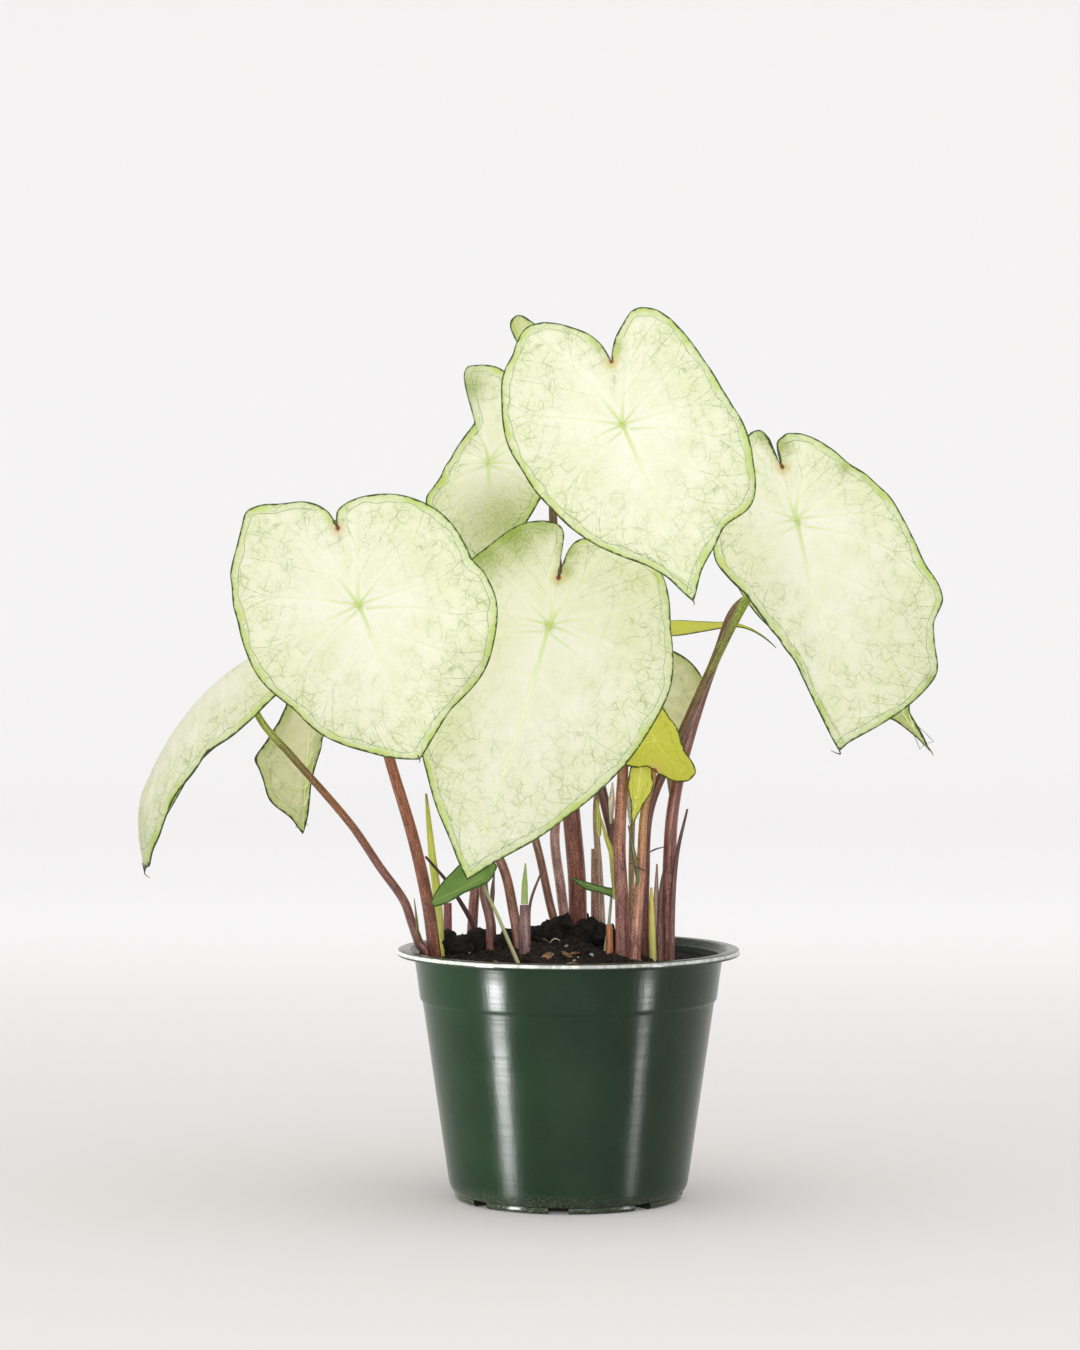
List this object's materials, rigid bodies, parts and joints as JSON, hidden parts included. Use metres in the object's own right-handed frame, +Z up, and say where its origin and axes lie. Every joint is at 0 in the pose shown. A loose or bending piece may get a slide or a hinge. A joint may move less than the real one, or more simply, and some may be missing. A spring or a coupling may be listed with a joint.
{
  "type": "potted plant",
  "caption": "Caladium with broad cream and green veined leaves on slender red-brown stems, standing in soil in a round tapered nursery pot.",
  "frame": {"origin": "middle of the pot's flat underside, on the surface that it stands on", "axes": "+Z up along the pot's axis, -Y towards the plant's front, +X to the right seen from the front"},
  "size_m": [0.3872, 0.1927, 0.4252],
  "materials": {
    "pot": "thin semi-gloss dark green plastic",
    "soil": "matt dark potting mix",
    "leaf": "thin translucent blade, cream with green veins and a dark green margin",
    "young_leaf": "thin translucent yellow-green blade",
    "stem": "smooth speckled red-brown stem",
    "sprout": "smooth yellow-green sprout",
    "weed": "matt green leaf and pale stalk",
    "dry": "dry dark fibre"
  },
  "bodies": {
    "root": {"leaf_back": "leaf", "leaf_back_left": "leaf", "leaf_back_right": "leaf", "leaf_centre_front": "leaf", "leaf_far_left": "leaf", "leaf_far_right": "leaf", "leaf_inner_right": "leaf", "leaf_left_front": "leaf", "leaf_lower_left": "leaf", "leaf_narrow": "young_leaf", "leaf_right_front": "leaf", "leaf_small": "young_leaf", "leaf_top_back": "leaf", "leaf_top_front": "leaf", "leaf_top_left": "leaf", "leaf_young": "young_leaf", "pot": "pot", "sheath_tip": "dry", "shoot_bract": "dry", "shoot_sheath": "stem", "shoot_spike": "sprout", "soil": "soil", "sprout_left": "sprout", "sprout_right": "sprout", "stem_back": "stem", "stem_back_left": "stem", "stem_back_right": "stem", "stem_centre_front": "stem", "stem_far_left": "stem", "stem_far_right": "stem", "stem_inner_right": "stem", "stem_left_front": "stem", "stem_lower_left": "stem", "stem_narrow": "stem", "stem_right_front": "stem", "stem_small": "stem", "stem_top_back": "stem", "stem_top_front": "stem", "stem_top_left": "stem", "stem_young": "stem", "stub_pink": "stem", "stump_cut": "stem", "twig": "dry", "weed_leaf_oval": "weed", "weed_leaf_thin": "weed", "weed_stalk_oval": "weed", "weed_stalk_thin": "weed"}
  },
  "joints": []
}
